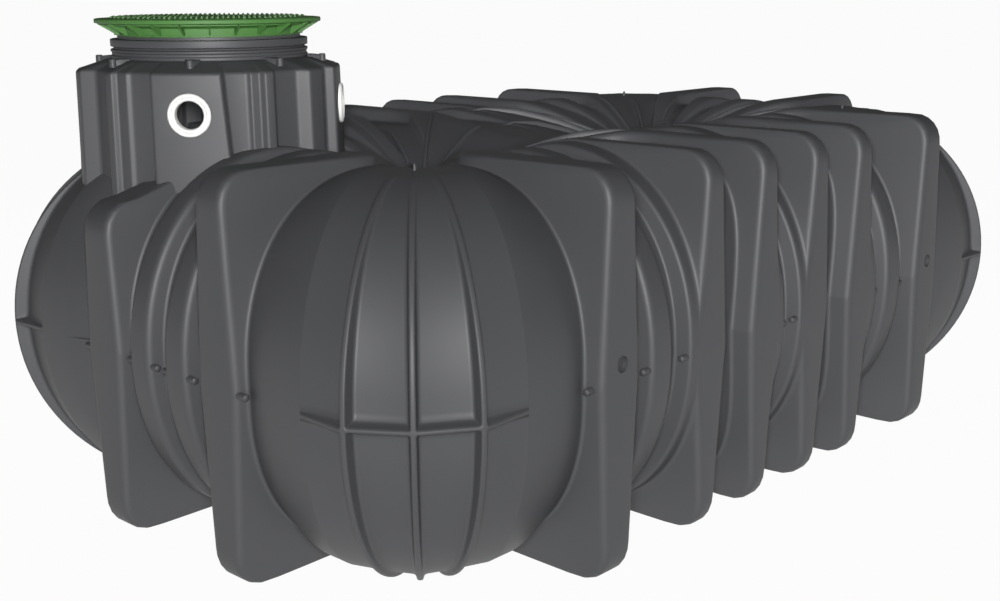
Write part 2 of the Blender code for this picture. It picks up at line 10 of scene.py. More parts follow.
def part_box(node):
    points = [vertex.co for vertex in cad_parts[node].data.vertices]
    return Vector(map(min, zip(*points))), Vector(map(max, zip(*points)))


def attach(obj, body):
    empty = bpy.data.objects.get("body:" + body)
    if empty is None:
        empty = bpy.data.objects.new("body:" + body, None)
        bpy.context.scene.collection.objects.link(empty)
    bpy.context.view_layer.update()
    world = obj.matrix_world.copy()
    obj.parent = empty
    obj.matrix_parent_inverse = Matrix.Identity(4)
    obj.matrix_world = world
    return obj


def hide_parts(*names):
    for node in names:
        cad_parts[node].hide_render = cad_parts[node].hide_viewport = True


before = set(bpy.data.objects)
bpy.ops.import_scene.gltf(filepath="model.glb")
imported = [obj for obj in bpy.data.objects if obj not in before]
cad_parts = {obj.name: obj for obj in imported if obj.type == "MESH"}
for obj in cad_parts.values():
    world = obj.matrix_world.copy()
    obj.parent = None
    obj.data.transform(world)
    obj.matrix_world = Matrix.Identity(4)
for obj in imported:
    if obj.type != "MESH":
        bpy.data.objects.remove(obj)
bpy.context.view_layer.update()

# Sizes in metres and angles in degrees; a name that ends in Z is a height above the floor
GAP = 0.0003

# Body: columns, plates, rings, rounded corners and their ribs
LENGTH, WIDTH, HEIGHT = 3.60, 2.25, 1.25
SEAM_Z = HEIGHT / 2
COLUMN_U, COLUMN_R, COLUMN_TOP_Z = 0.675, 0.075, 1.05
SADDLE_Z, ROOF_Z = 1.17, 1.215
SIDE_PLATES, END_PLATE = (0.166, 0.482, 0.980), 0.305
PLATE_SEAM, PLATE_TOP = {"inner": 0.163, "corner": 0.173}, {"inner": 0.072, "corner": 0.114}
PLATE_OUT, PLATE_DRAFT, PLATE_ROUND = 0.020, 0.004, 0.10
LOW_PLATE_Z, LOW_PLATE_IN, LOW_PLATE_END = 1.10, 0.62, 0.86
SIDE_RING, END_RING, SHOULDERS = 0.750, 0.095, (0.021, 0.029)
RING_SEAM, RING_TOP, FLANK = 0.100, 0.092, 0.010
CREST_IN = 0.56
FORMS = {"ring": (0.0, 1.240, 2.15), "valley": (0.060, 1.196, 2.15),
         "deep": (0.085, 1.200, 4.2), "side": (0.050, 1.212, 2.25)}
CORNER_IN, CORNER_CREST_Z, CORNER_POWER = 0.500, 1.228, 2.05
CORNER_RIBS, CORNER_GORE, CORNER_SWEEP, CORNER_BULGE = (-19.5, 0.0, 19.5), 38.0, 56.0, 0.014
RIB_HIGH, RIB_WIDE, RIB_FOOT, LIP_DROP = 0.046, 0.016, 0.012, 0.0045
RIB_POLE, RIB_POLE_HIGH, RIB_POLE_LOW, GORE_POLE = 0.034, 0.003, 0.019, 0.125
# Steps up the wall and across the roof
WALL_STEPS, ROOF_STEPS = 26, 13

# Shaft, seals, neck with its lugs, and cover
SHAFT_C = (-1.185, 0.505)
SHAFT_DRAFT, SHAFT_BORE, SHOULDER_R = 1.02, 0.295, 0.343
SHAFT_FOOT_Z, SHAFT_SHOULDER_Z, SHAFT_TOP_Z = 0.93, 1.462, 1.512
BROW_FOOT_Z, BROW_Z, BROW_SCALE = 1.470, 1.484, 0.968
PANEL_DIST, PANEL_HALF = 0.435, 15.2
SHAFT_WALL = 0.010
SEAL_Z, SEAL_R, SEAL_BORE, SEAL_HOLE = 1.350, 0.0688, 0.045, 0.053
NECK_R = 0.332
LUGS, LUG_IN, LUG_HIGH = 8, 0.334, 0.008
KNOB_OUT, KNOB_R, KNOB_FOOT_Z = 0.3825, 0.0118, 1.4915
COVER_R, RIM_THICK, LID_R = 0.380, 0.0145, 0.357
GUSSETS, GUSSET_START, GUSSET_THICK = 24, 10.0, 0.0042
# Raised bars on the lid: turn of the rows, pitch along and across them, clear edge
BAR_TURN, BAR_ALONG, BAR_ACROSS, BAR_EDGE = 54.0, 0.036, 0.0168, 0.028

# Pegs in the grooves, pins on the corners, recesses in the corner plates, ribs in the bowls
PEG_Z, PEG_R, PEG_IN = 0.615, 0.0105, 0.020
SIDE_PEGS = ((0.590, 0.637), (0.790, 0.836), (1.062, 1.104), (0.058, 0.020))
END_PEGS = ((0.140, 0.182), (0.388, 0.430), (0.050, 0.014))
PIN_U, PIN_V = 1.262, 0.587
RECESS_Z, RECESS_R, RECESS_CUT = 0.680, 0.025, 0.036
BOWL_MIDDLE = 42.5
BOWL_ANGLES, BOWL_START, BOWL_END = (24.5, BOWL_MIDDLE, 60.5), 0.13, 0.04

# Floor, lamps and camera
FLOOR_HALF, FLOOR_GREY = 400.0, 0.46
FLOOR_WHITE = (("Is Camera Ray", 0.96), ("Is Glossy Ray", 0.94), ("Is Transmission Ray", 0.94))
HORIZON_LEVEL, CEILING_LEVEL = 0.16, 0.06
# Name, place, target, size, level, and whether glossy surfaces show the lamp
LAMPS = (("key", (-4.05, -3.50, 1.95), (0.0, 0.1, 0.6), 0.7, 14, True),
         ("fill", (4.5, -4.5, 3.0), (0, 0, 0.5), 2.5, 1.4, False),
         ("back", (3.0, 5.5, 3.2), (0, 0, 0.5), 2.5, 5.0, False))
CAMERA_PLACE, HEADING, TILT, ROLL = (-3.8855, -3.3607, 1.7425), 42.882, 13.466, 0.285
LENS, SENSOR = 47.235, 36.0


# Materials -----------------------------------------------------------------------------------

def moulded_surface():
    """Shared finish of moulded plastic: a faint uneven tone and a fine grain."""
    group = bpy.data.node_groups.new("moulded surface", "ShaderNodeTree")
    for name, kind, value in (("Colour", "NodeSocketColor", (0.5, 0.5, 0.5, 1.0)),
                              ("Roughness", "NodeSocketFloat", 0.5),
                              ("Unevenness", "NodeSocketFloat", 0.07),
                              ("Grain", "NodeSocketFloat", 0.2),
                              ("Grain Size", "NodeSocketFloat", 900.0)):
        group.interface.new_socket(name, in_out="INPUT", socket_type=kind).default_value = value
    for name, kind in (("Colour", "NodeSocketColor"), ("Roughness", "NodeSocketFloat"),
                       ("Normal", "NodeSocketVector")):
        group.interface.new_socket(name, in_out="OUTPUT", socket_type=kind)
    nodes, links = group.nodes, group.links
    given, made = nodes.new("NodeGroupInput"), nodes.new("NodeGroupOutput")
    where = nodes.new("ShaderNodeTexCoord")
    tone = nodes.new("ShaderNodeTexNoise")
    tone.inputs["Scale"].default_value = 2.2
    tone.inputs["Detail"].default_value = 3.0
    links.new(where.outputs["Object"], tone.inputs["Vector"])

    def around_one(share):
        """One plus or minus a share, after the uneven tone."""
        spread = nodes.new("ShaderNodeMath")
        spread.operation = "MULTIPLY_ADD"
        spread.inputs[1].default_value, spread.inputs[2].default_value = 2.0, -1.0
        links.new(tone.outputs["Fac"], spread.inputs[0])
        sized = nodes.new("ShaderNodeMath")
        sized.operation = "MULTIPLY_ADD"
        sized.inputs[2].default_value = 1.0
        links.new(spread.outputs[0], sized.inputs[0])
        links.new(share, sized.inputs[1])
        return sized.outputs[0]

    factor = around_one(given.outputs["Unevenness"])
    tinted = nodes.new("ShaderNodeVectorMath")
    tinted.operation = "SCALE"
    links.new(given.outputs["Colour"], tinted.inputs[0])
    links.new(factor, tinted.inputs["Scale"])
    links.new(tinted.outputs["Vector"], made.inputs["Colour"])
    rough = nodes.new("ShaderNodeMath")
    rough.operation = "MULTIPLY"
    links.new(given.outputs["Roughness"], rough.inputs[0])
    links.new(factor, rough.inputs[1])
    links.new(rough.outputs[0], made.inputs["Roughness"])
    fine = nodes.new("ShaderNodeTexNoise")
    fine.inputs["Detail"].default_value = 2.0
    links.new(where.outputs["Object"], fine.inputs["Vector"])
    links.new(given.outputs["Grain Size"], fine.inputs["Scale"])
    bump = nodes.new("ShaderNodeBump")
    bump.inputs["Distance"].default_value = 0.0004
    links.new(fine.outputs["Fac"], bump.inputs["Height"])
    links.new(given.outputs["Grain"], bump.inputs["Strength"])
    links.new(bump.outputs["Normal"], made.inputs["Normal"])
    return group


MOULDED = moulded_surface()


def plastic(name, colour, rough, gloss):
    """A material of the shared moulded finish in one colour."""
    mat = bpy.data.materials.new(name)
    mat.use_nodes = True
    nodes, links = mat.node_tree.nodes, mat.node_tree.links
    shader = nodes["Principled BSDF"]
    shader.inputs["Specular IOR Level"].default_value = gloss
    finish = nodes.new("ShaderNodeGroup")
    finish.node_tree = MOULDED
    finish.inputs["Colour"].default_value = (*colour, 1.0)
    finish.inputs["Roughness"].default_value = rough
    links.new(finish.outputs["Colour"], shader.inputs["Base Color"])
    links.new(finish.outputs["Roughness"], shader.inputs["Roughness"])
    links.new(finish.outputs["Normal"], shader.inputs["Normal"])
    return mat


TANK = plastic("charcoal tank plastic", (0.052, 0.053, 0.056), 0.54, 0.48)
COVER = plastic("green cover plastic", (0.062, 0.172, 0.040), 0.55, 0.4)
SEAL = plastic("white seal rubber", (0.80, 0.80, 0.78), 0.5, 0.4)


# Mesh helpers --------------------------------------------------------------------------------

def make_piece(name, bm, mat, replaced=(), smooth=35.0):
    """An object from a mesh, with edges sharper than smooth degrees kept sharp."""
    bmesh.ops.recalc_face_normals(bm, faces=bm.faces)
    limit = math.radians(smooth)
    for face in bm.faces:
        face.smooth = True
    for edge in bm.edges:
        if len(edge.link_faces) == 2 and edge.calc_face_angle(0.0) > limit:
            edge.smooth = False
    mesh = bpy.data.meshes.new(name)
    bm.to_mesh(mesh)
    bm.free()
    mesh.materials.append(mat)
    obj = bpy.data.objects.new(name, mesh)
    bpy.context.scene.collection.objects.link(obj)
    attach(obj, "root")
    if replaced:
        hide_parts(*replaced)
    return obj


def grid_faces(bm, loops, closed_u=False, closed_v=False):
    """Quads between neighbouring loops of vertices."""
    count = len(loops)
    for i in range(count if closed_u else count - 1):
        a, b = loops[i], loops[(i + 1) % count]
        size = min(len(a), len(b))
        for j in range(size if closed_v else size - 1):
            k = (j + 1) % size
            loop = []
            for v in (a[j], b[j], b[k], a[k]):
                if v not in loop:
                    loop.append(v)
            if len(loop) > 2:
                bm.faces.new(loop)


def soft_line(points, radius, steps=4, closed=False):
    """Rounds the corners of a polyline of 2D or 3D points; each point may carry its own radius."""
    points = [np.array(p, float) for p in points]
    radii = radius if isinstance(radius, (list, tuple)) else [radius] * len(points)
    out = []
    for i, p in enumerate(points):
        if not closed and i in (0, len(points) - 1) or not radii[i]:
            out.append(p)
            continue
        a, b = points[i - 1], points[(i + 1) % len(points)]
        la, lb = np.linalg.norm(a - p), np.linalg.norm(b - p)
        pa = p + (a - p) / la * min(radii[i], la * 0.48)
        pb = p + (b - p) / lb * min(radii[i], lb * 0.48)
        for k in range(steps + 1):
            t = k / steps
            out.append(pa * (1 - t) ** 2 + p * 2 * t * (1 - t) + pb * t * t)
    return out


def lathe(bm, profile, steps, closed=True):
    """Turns a profile of radii and heights round the shaft's axis and returns its upright loops."""
    loops = []
    for i in range(steps):
        a = 2 * math.pi * i / steps
        loops.append([bm.verts.new((SHAFT_C[0] + r * math.cos(a), SHAFT_C[1] + r * math.sin(a), z))
                      for r, z in profile])
    grid_faces(bm, loops, True, closed)
    return loops


def spokes(count, start=0.0):
    """Outward and sideways directions, evenly spread round the shaft."""
    for i in range(count):
        a = math.radians(start + 360.0 * i / count)
        way = Vector((math.cos(a), math.sin(a), 0.0))
        yield way, Vector((-way.y, way.x, 0.0))


# The body ------------------------------------------------------------------------------------

def station(kind, mid, off, form, group="none", soft=0.0, crease=False, close=1.0, out=0.0):
    """One upright section: where it stands, the form it follows and how its edges are rounded."""
    return dict(kind=kind, mid=mid, off=off, form=form, group=group, soft=soft, crease=crease,
                close=close, out=out)


def plate(kind, mid, size, low, high, form="plate", out=0.0):
    """A stiffening plate between the forms on its low and its high side."""
    h, close = PLATE_SEAM[size] / 2, PLATE_TOP[size] / PLATE_SEAM[size]
    return [station(kind, mid, -h - FLANK, low, "plate", 0.016, False, close),
            station(kind, mid, -h, form, "plate", 0.026, False, close, out),
            station(kind, mid, h, form, "plate", 0.026, False, close, out),
            station(kind, mid, h + FLANK, high, "plate", 0.016, False, close)]


def ring(kind, mid):
    """A rounded ring between two valleys."""
    h, close = RING_SEAM / 2, RING_TOP / RING_SEAM
    rows = ((-h - FLANK, "valley", 0.012), (-h, "ring", 0.022),
            (h, "ring", 0.022), (h + FLANK, "valley", 0.012))
    return [station(kind, mid, off, form, "ring", soft, False, close) for off, form, soft in rows]


def shoulder(foot, wide, away):
    """The narrow rounded step at the foot of a plate."""
    close = RING_TOP / RING_SEAM
    return [station("side", foot, away * wide, "ring", "ring", 0.014, False, close),
            station("side", foot, away * (wide + FLANK), "valley", "ring", 0.010, False, close)]


def quarter_stations(low_plate, pole):
    """The sections of a quarter, from the middle of the side round the corner to the end."""
    inner, second, outer = SIDE_PLATES
    reach = PLATE_SEAM["inner"] / 2 + FLANK
    rows = [station("side", 0.0, 0.0, "valley")]
    rows += shoulder(inner - reach, SHOULDERS[0], -1)[::-1]
    rows += plate("side", inner, "inner", "ring", "deep")
    rows += [station("side", (inner + second) / 2, 0.0, "deep")]
    rows += plate("side", second, "inner", "deep", "ring")
    rows += shoulder(second + reach, SHOULDERS[1], 1)
    rows += ring("side", SIDE_RING)
    rows += plate("side", outer, "corner", "valley", "side", "plate", PLATE_OUT)
    gores = [station("corner", mid, 0.0, "gore", crease=abs(mid) == CORNER_GORE, out=pole)
             for mid in (-CORNER_SWEEP, -CORNER_GORE, CORNER_GORE, CORNER_SWEEP)]
    rows += gores[:2]
    for mid in CORNER_RIBS:
        for off, form, soft in ((-RIB_FOOT, "gore", 0.010), (-RIB_WIDE / 2, "rib", 0.006),
                                (RIB_WIDE / 2, "rib", 0.006), (RIB_FOOT, "gore", 0.010)):
            rows.append(station("corner", mid, off, form, "rib", soft, out=pole))
    rows += gores[2:]
    high_side, form = ("valley", "low") if low_plate else ("side", "plate")
    rows += plate("end", END_PLATE, "corner", "valley", high_side, form)[::-1]
    rows += ring("end", END_RING)[::-1]
    rows += [station("end", 0.0, 0.0, "valley")]
    return rows


# Heights of a section's points as shares of its rise, and the seam rib's lift at the lowest ones
SHARES = [0.0, 0.0085, 0.0135, 0.019, 0.027]
SHARES += [math.sin(math.pi / 2 * i / WALL_STEPS) for i in range(1, WALL_STEPS + 1)]
SEAM_LIFT = [1.0, 0.97, 0.72, 0.22, 0.05]


def round_rise(reach, rise, power, share):
    """Distance out and height on a rounded wall."""
    return reach * max(1.0 - share ** power, 0.0) ** (1.0 / power), rise * share


def square_rise(reach, rise, share):
    """Upright wall, rounded brow and level top."""
    r = PLATE_ROUND
    angle = math.degrees(math.asin(min(share, 1.0)))
    start = math.degrees(math.asin((rise - r) / rise))
    end = start + (90 - start) * 0.55
    if angle <= start:
        return reach - PLATE_DRAFT * share, rise * share
    edge = reach - PLATE_DRAFT
    if angle <= end:
        t = math.radians(90 * (angle - start) / (end - start))
        return edge - r + r * math.cos(t), rise - r + r * math.sin(t)
    t = (angle - end) / (90 - end)
    return (edge - r) * (1 - t), rise


def low_rise(reach, share):
    """The wall of the low plate beside the shaft, which ends on the valley behind it."""
    rise, inner = LOW_PLATE_Z - SEAM_Z, reach * LOW_PLATE_IN
    if share < LOW_PLATE_END:
        d, z = square_rise(reach, rise, min(share * 1.12, 1.0))
        return max(d, inner), z
    by, crest, power = FORMS["valley"]
    d, z = round_rise(reach - by, crest - SEAM_Z, power, share)
    t = (share - LOW_PLATE_END) / (1 - LOW_PLATE_END)
    return min(max(inner * (1 - t) + d * t, d), inner), max(rise, z + 0.005)


def closed_in(st, z, rise):
    """A section's offset from its plate's or ring's middle, which narrows towards the top."""
    if st["group"] == "rib" or not st["off"]:
        return 0.0
    return math.copysign(abs(st["off"]) * (1.0 + (st["close"] - 1.0) * min(z / rise, 1.0)), st["off"])


def inner_place(st):
    """Where a section ends: plan point, height, and whether it goes down the column.

    Past the plate next to the middle it ends on the column, beta degrees round it.
    """
    plate_end = PLATE_SEAM["corner"] / 2 + FLANK
    if st["kind"] == "side":
        edge = SIDE_PLATES[0] + PLATE_SEAM["inner"] / 2 + FLANK
        a = st["mid"] + st["off"]
        if a <= edge + 1e-6:
            share = min(a / edge, 1.0)
            ease = share * share * (3 - 2 * share)
            height = SADDLE_Z + (COLUMN_TOP_Z - SADDLE_Z) * ease
            return ((COLUMN_U - COLUMN_R) * share, 0.0), height, share > 0.999
        beta = float(np.interp(a, (edge, SIDE_PLATES[1], SIDE_PLATES[2] + plate_end), (0.0, 66.0, 124.0)))
    elif st["kind"] == "corner":
        beta = 135.0 + st["mid"] * 9.0 / CORNER_SWEEP
    else:
        beta = 180.0 - (st["mid"] + st["off"]) * 34.0 / (END_PLATE + plate_end)
    b = math.radians(beta)
    return (COLUMN_U - COLUMN_R * math.cos(b), COLUMN_R * math.sin(b)), COLUMN_TOP_Z, True


def lip_height(st):
    """The level lip on top of each rounded corner, where its ribs end."""
    on_lip = st["kind"] == "corner" and abs(st["mid"]) < CORNER_GORE - 1 and st["out"] == RIB_POLE_HIGH
    return CORNER_CREST_Z - LIP_DROP if on_lip else HEIGHT


def corner_wall(st):
    """The points of a section up a rounded corner, and its sideways step."""
    mid = np.array((LENGTH / 2, WIDTH / 2)) - CORNER_IN
    ang = math.radians(45.0 - st["mid"])
    way = np.array((math.cos(ang), math.sin(ang)))
    side = np.array((way[1], -way[0])) * st["off"]
    key = (0.0, CORNER_RIBS[2], CORNER_GORE, CORNER_SWEEP)
    lat = float(np.interp(abs(st["mid"]), key, (0.0, RIB_POLE, GORE_POLE, GORE_POLE * 1.2)))
    lat = math.copysign(lat, st["mid"])
    pole = mid + np.array((lat, -lat)) / math.sqrt(2) - 0.045 * abs(st["mid"]) / CORNER_SWEEP
    bulge = CORNER_BULGE * math.cos(math.radians(min(abs(st["mid"]) * 90.0 / CORNER_GORE, 90.0)))
    wall = mid + (CORNER_IN + bulge) * way
    cap = lip_height(st)
    out = []
    for row, share in enumerate(SHARES):
        f, z = round_rise(1.0, CORNER_CREST_Z - SEAM_Z, CORNER_POWER, share)
        tilt = share * share
        rib = st["form"] == "rib"
        lift = RIB_HIGH * (1.0 - tilt) if rib else 0.0
        if st["group"] == "rib" and not rib and row < len(SEAM_LIFT):
            lift = RIB_HIGH * SEAM_LIFT[row]
        plan = pole + (wall - pole) * f + way * lift + side
        out.append((plan[0], plan[1], min(SEAM_Z + z + st["out"] * rib * tilt, cap)))
    return out, side


def flat_wall(st):
    """The points of a section up a side or an end."""
    base = CREST_IN if st["kind"] == "side" else COLUMN_U + CREST_IN
    reach = (WIDTH / 2 if st["kind"] == "side" else LENGTH / 2) - base + st["out"]
    out = []
    for share in SHARES:
        if st["form"] == "plate":
            d, z = square_rise(reach, HEIGHT - SEAM_Z, share)
        elif st["form"] == "low":
            d, z = low_rise(reach, share)
        else:
            by, crest, power = FORMS[st["form"]]
            d, z = round_rise(reach - by, crest - SEAM_Z, power, share)
        along = st["mid"] + closed_in(st, z, HEIGHT - SEAM_Z)
        out.append((along, base + d, SEAM_Z + z) if st["kind"] == "side" else (base + d, along, SEAM_Z + z))
    return out


def section(st):
    """The points of a section from the seam up the wall, across the roof and down the column."""
    (iu, iv), inner_z, on_column = inner_place(st)
    side, cap = (0.0, 0.0), lip_height(st)
    if st["kind"] == "corner":
        out, side = corner_wall(st)
    else:
        out = flat_wall(st)
    cu, cv, cz = out[-1]
    cu, cv = cu - side[0], cv - side[1]
    for i in range(1, ROOF_STEPS + 1):
        share = i / ROOF_STEPS
        hold = max(1.0 - share * 5.0, 0.0) if st["kind"] == "corner" else 1.0
        z = inner_z + (ROOF_Z - inner_z) * math.cos(math.radians(90 * share))
        fade = (1.0 - share) ** 1.7 * (hold if st["group"] == "rib" and cap == HEIGHT else 1.0)
        out.append((cu + (iu - cu) * share + side[0] * hold, cv + (iv - cv) * share + side[1] * hold,
                    min(z + (cz - ROOF_Z) * fade, cap)))
    if on_column:
        for z in (0.96, 0.80, SEAM_Z):
            out.append((iu, iv, z))
    return [np.array(p) for p in out]


def fine_columns(rows):
    """The sections with their corners rounded: a list of point columns and which ones are creases."""
    cols = [section(st) for st in rows]
    out = []
    for n, st in enumerate(rows):
        if not st["soft"] or n in (0, len(rows) - 1):
            out.append((cols[n], st["crease"]))
            continue
        steps = 5 if st["soft"] > 0.011 else 4
        line = [[] for _ in range(steps + 1)]
        for j, p in enumerate(cols[n]):
            ends = []
            for other in (cols[n - 1], cols[n + 1]):
                way = other[j] - p if j < len(other) else np.zeros(3)
                size = np.linalg.norm(way)
                ends.append(p + way / size * min(st["soft"], size * 0.48) if size > 1e-9 else p)
            for k in range(steps + 1):
                t = k / steps
                line[k].append(ends[0] * (1 - t) ** 2 + p * 2 * t * (1 - t) + ends[1] * t * t)
        out += [(part, False) for part in line]
    return out


def cut_away(obj, bm):
    """Takes a closed mesh away from a piece."""
    mesh = bpy.data.meshes.new("cut")
    bm.to_mesh(mesh)
    bm.free()
    cutter = bpy.data.objects.new("cut", mesh)
    bpy.context.scene.collection.objects.link(cutter)
    mod = obj.modifiers.new("cut", "BOOLEAN")
    mod.object, mod.operation, mod.solver = cutter, "DIFFERENCE", "EXACT"
    with bpy.context.temp_override(object=obj, active_object=obj):
        bpy.ops.object.modifier_apply(modifier=mod.name)
    bpy.data.objects.remove(cutter, do_unlink=True)


def add_rod(bm, place, way, radius, depth, segments):
    """A closed cylinder with its middle at place and its axis along way."""
    made = bmesh.ops.create_cone(bm, cap_ends=True, segments=segments, radius1=radius, radius2=radius,
                                 depth=depth)
    turn = Vector(way).to_track_quat("Z", "Y").to_matrix().to_4x4()
    turn.translation = Vector(place)
    bmesh.ops.transform(bm, matrix=turn, verts=made["verts"])


def build_body():
    """Both half shells in one mesh: eight quarters that share their edge points."""
    bm = bmesh.new()
    lookup, creases = {}, []
    for half in (1, -1):
        for su, sv in ((-1, -1), (-1, 1), (1, 1), (1, -1)):
            loops = []
            pole = RIB_POLE_HIGH if half > 0 else RIB_POLE_LOW
            for col, crease in fine_columns(quarter_stations(half > 0 and (su, sv) == (-1, 1), pole)):
                loop = []
                for p in col:
                    z = p[2] if half > 0 else HEIGHT - p[2]
                    tag = (round(su * p[0], 5), round(sv * p[1], 5), round(z, 5))
                    if tag not in lookup:
                        lookup[tag] = bm.verts.new((su * p[0], sv * p[1], z))
                    loop.append(lookup[tag])
                loops.append(loop)
                if crease:
                    creases.append(loop[:len(SHARES)])
            for a, b in zip(loops, loops[1:]):
                for j in range(min(len(a), len(b)) - 1):
                    loop = []
                    for v in (a[j], b[j], b[j + 1], a[j + 1]):
                        if v not in loop:
                            loop.append(v)
                    if len(loop) > 2 and not bm.faces.get(loop):
                        bm.faces.new(loop)
    for line in creases:
        for a, b in zip(line, line[1:]):
            edge = bm.edges.get((a, b))
            if edge:
                edge.smooth = False
    return make_piece("tank_body", bm, TANK, ("upper_shell", "lower_shell"), 62.0)


# Shaft ---------------------------------------------------------------------------------------

LOW, STEP, RIB, HIGH = 0.417, 0.429, 0.446, 0.456
# Outline between two panels: angle from a panel's middle in degrees, radius and rounding.
# FLUTES_BACK is the one for every second quarter.
FLUTES = ((17.0, LOW, 0.006), (25.0, LOW, 0.008), (26.4, STEP, 0.005), (30.3, STEP - 0.002, 0.006),
          (31.9, RIB, 0.006), (35.8, RIB, 0.007), (38.2, LOW, 0.008), (50.0, LOW, 0.010),
          (53.6, HIGH, 0.009), (62.0, HIGH, 0.009), (64.4, LOW, 0.006), (73.0, LOW, 0.006))
FLUTES_BACK = ((17.0, LOW, 0.006), (27.3, LOW, 0.008), (28.8, STEP, 0.005), (34.0, STEP - 0.002, 0.006),
               (35.2, RIB, 0.006), (38.9, RIB, 0.007), (41.2, LOW - 0.003, 0.008),
               (55.6, LOW - 0.010, 0.010), (59.3, HIGH, 0.007), (66.4, HIGH, 0.009),
               (68.6, LOW, 0.006), (73.0, LOW, 0.006))


def shaft_outline(z):
    """The shaft's outline at a height as rounded plan points; every second quarter is mirrored.

    Points without a radius are the corners of a flat panel, which leans a little.
    """
    lean = 1.8 * min(max((z - 1.25) / 0.21, -1.0), 1.0)
    pts, radii = [], []
    for k in range(4):
        rows = [(PANEL_HALF, 0.0, 0.009), *FLUTES, (90.0 - PANEL_HALF, 0.0, 0.009)]
        if k % 2:
            rows = [(90.0 - deg, r, soft) for deg, r, soft in
                    [(90.0 - PANEL_HALF, 0.0, 0.009), *reversed(FLUTES_BACK), (PANEL_HALF, 0.0, 0.009)]]
        for n, (deg, r, soft) in enumerate(rows):
            if n < 2:
                deg -= lean
            r = r or PANEL_DIST / math.cos(math.radians(min(deg, 90.0 - deg)))
            a = math.radians(45.0 + 90.0 * k + deg)
            pts.append((r * math.cos(a), r * math.sin(a)))
            radii.append(soft)
    return soft_line(pts, radii, 3, True)


def shaft_loop(bm, z, scale, inset=0.0, circle=0.0, mix=0.0):
    """One level of the shaft: the outline scaled and drawn in, mixed with a circle."""
    loop = []
    for x, y in shaft_outline(z):
        size = math.hypot(x, y)
        wanted = (size * scale - inset) * (1.0 - mix) + circle * mix
        loop.append(bm.verts.new((SHAFT_C[0] + x / size * wanted, SHAFT_C[1] + y / size * wanted, z)))
    return loop


def build_shaft():
    """The thin-walled shaft: outside upwards, over the shoulder, and inside down again."""
    bm = bmesh.new()
    loops = []
    for z in np.linspace(SHAFT_FOOT_Z, BROW_FOOT_Z, 9):
        wider = (SHAFT_DRAFT - 1.0) * (BROW_FOOT_Z - z) / (BROW_FOOT_Z - SHAFT_FOOT_Z)
        loops.append(shaft_loop(bm, z, 1.0 + wider))
    for rise, scale in ((0.005, 0.998), (0.009, 0.993), (0.012, 0.984), (BROW_Z - BROW_FOOT_Z, BROW_SCALE)):
        loops.append(shaft_loop(bm, BROW_FOOT_Z + rise, scale))
    rise = SHAFT_TOP_Z - BROW_Z
    for mix in (0.2, 0.4, 0.6, 0.8, 0.95):
        loops.append(shaft_loop(bm, BROW_Z + rise * mix, BROW_SCALE, 0.0, SHOULDER_R, mix))
    for r, z in ((SHOULDER_R - 0.004, SHAFT_TOP_Z), (SHAFT_BORE, SHAFT_TOP_Z),
                 (SHAFT_BORE, SHAFT_TOP_Z - SHAFT_WALL), (SHOULDER_R - 0.004, SHAFT_TOP_Z - 0.011)):
        loops.append(shaft_loop(bm, z, 0.0, 0.0, r, 1.0))
    loops.append(shaft_loop(bm, BROW_Z - 0.012, BROW_SCALE, 0.007))
    loops.append(shaft_loop(bm, BROW_FOOT_Z - 0.006, 1.0, SHAFT_WALL))
    loops.append(shaft_loop(bm, SHAFT_FOOT_Z, SHAFT_DRAFT, SHAFT_WALL))
    grid_faces(bm, loops, True, True)
    shaft = make_piece("shaft_body", bm, TANK, ("access_shaft",), 50.0)
    holes = bmesh.new()
    for way, _ in spokes(4, 45.0):
        add_rod(holes, Vector((*SHAFT_C, SEAL_Z)) + way * PANEL_DIST, way, SEAL_HOLE, 0.16, 64)
    cut_away(shaft, holes)


def build_seals():
    """A round lipped seal in the hole of each panel."""
    scale = 1.0 + (SHAFT_DRAFT - 1.0) * (SHAFT_SHOULDER_Z - SEAL_Z) / (SHAFT_SHOULDER_Z - SHAFT_FOOT_Z)
    face = PANEL_DIST * scale + 0.0016
    # sleeve, flange, groove and inner lip as radius and distance out of the panel
    profile = soft_line([(SEAL_BORE, -0.028), (SEAL_HOLE - 0.0006, -0.028), (SEAL_HOLE - 0.0006, 0.0),
                         (SEAL_R, 0.0), (SEAL_R, 0.0065), (0.0655, 0.0112), (0.0600, 0.0118),
                         (0.0566, 0.0095), (0.0560, 0.0035), (0.0548, 0.0035), (0.0542, 0.0090),
                         (0.0515, 0.0104), (0.0480, 0.0088), (SEAL_BORE, 0.004),
                         (SEAL_BORE + 0.003, -0.010)], 0.0013, 3, True)
    for k, (way, side) in enumerate(spokes(4, 45.0)):
        hub = Vector((*SHAFT_C, SEAL_Z)) + way * face
        bm = bmesh.new()
        loops = []
        for t in np.linspace(0, 2 * math.pi, 72, endpoint=False):
            spoke = side * math.cos(t) + Vector((0, 0, math.sin(t)))
            loops.append([bm.verts.new(hub + way * x + spoke * r) for r, x in profile])
        grid_faces(bm, loops, True, True)
        make_piece("seal_%d" % (k + 1), bm, SEAL, ("pipe_seal_%d" % (k + 1),), 50.0)


